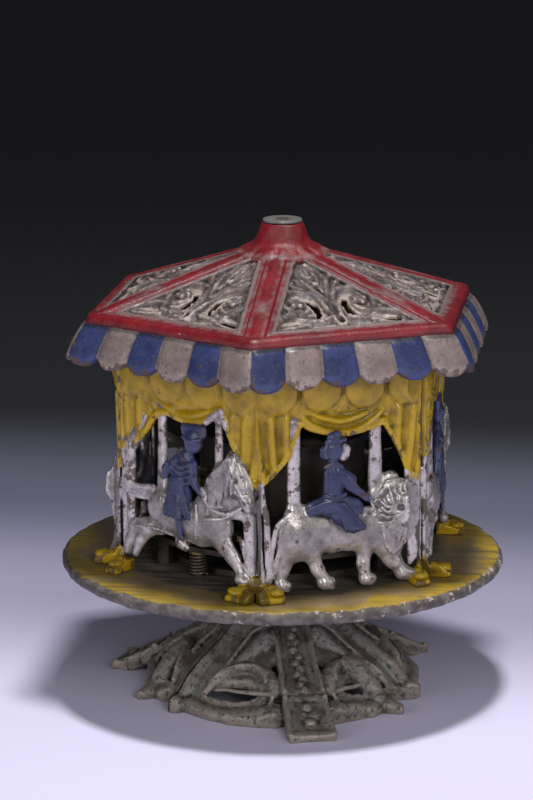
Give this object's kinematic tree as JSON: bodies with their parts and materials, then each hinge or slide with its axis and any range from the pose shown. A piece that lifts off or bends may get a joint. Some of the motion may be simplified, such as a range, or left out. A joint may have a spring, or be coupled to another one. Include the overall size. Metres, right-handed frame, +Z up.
{
  "type": "wind-up merry-go-round toy",
  "caption": "Painted cast-iron merry-go-round on a pierced pedestal: a six-sided pavilion with animal riders turns by clockwork under a tented roof.",
  "frame": {"origin": "on the turning axis, at ground level under the pedestal", "axes": "+Z up along the turning axis; -Y towards a corner of the pavilion at rest"},
  "size_m": [0.11, 0.11, 0.1187],
  "materials": {
    "red_paint": "worn enamel on cast iron, satin",
    "silver_paint": "aluminium paint on cast iron, worn",
    "blue_paint": "worn enamel on cast iron, satin",
    "yellow_paint": "worn enamel on cast iron, satin",
    "cast_iron": "bare casting with the remains of grey-green paint",
    "steel": "turned, dull",
    "brass": "dull",
    "spring_steel": "browned",
    "dark_tin": "dark, tarnished"
  },
  "bodies": {
    "pedestal": {"pedestal": "cast_iron", "spindle": "steel", "spindle_nut": "steel", "spring_hub": "steel", "top_cap": "steel", "thrust_washer": "brass", "sun_gear": "brass"},
    "carousel": {"platform": "yellow_paint", "platform_bush": "brass", "governor_cock": "brass", "roof_bush": "brass", "bearing_plate": "dark_tin", "motor_plate": "dark_tin", "upper_plate": "dark_tin", "spring_barrel": "dark_tin", "barrel_cover": "dark_tin", "plate_pillar_1": "steel", "plate_pillar_2": "steel", "plate_pillar_3": "steel", "mainspring": "spring_steel", "horse_panel_1": "silver_paint", "lion_panel_1": "silver_paint", "horse_panel_2": "silver_paint", "lion_panel_2": "silver_paint", "horse_panel_3": "silver_paint", "lion_panel_3": "silver_paint", "panel_rivet_01": "yellow_paint", "panel_rivet_02": "yellow_paint", "panel_rivet_03": "yellow_paint", "panel_rivet_04": "yellow_paint", "panel_rivet_05": "yellow_paint", "panel_rivet_06": "yellow_paint", "panel_rivet_07": "yellow_paint", "panel_rivet_08": "yellow_paint", "panel_rivet_09": "yellow_paint", "panel_rivet_10": "yellow_paint", "panel_rivet_11": "yellow_paint", "panel_rivet_12": "yellow_paint", "roof": "red_paint"},
    "governor": {"governor_arbor": "steel", "governor_spring": "spring_steel", "governor_collar": "brass", "governor_pinion": "brass", "governor_fly": "brass"}
  },
  "joints": [
    {"name": "carousel_spin", "type": "hinge", "parent": "pedestal", "child": "carousel", "pos_m": [0, 0, 0.0354], "axis": [0, 0, 1], "continuous": true, "deforming": ["mainspring"]},
    {"name": "governor_spin", "type": "hinge", "parent": "carousel", "child": "governor", "pos_m": [-0.01669, -0.02671, 0.0354], "axis": [0, 0, 1], "continuous": true}
  ],
  "couplings": [
    {"joint": "governor_spin", "follows": "carousel_spin", "ratio": 10}
  ]
}
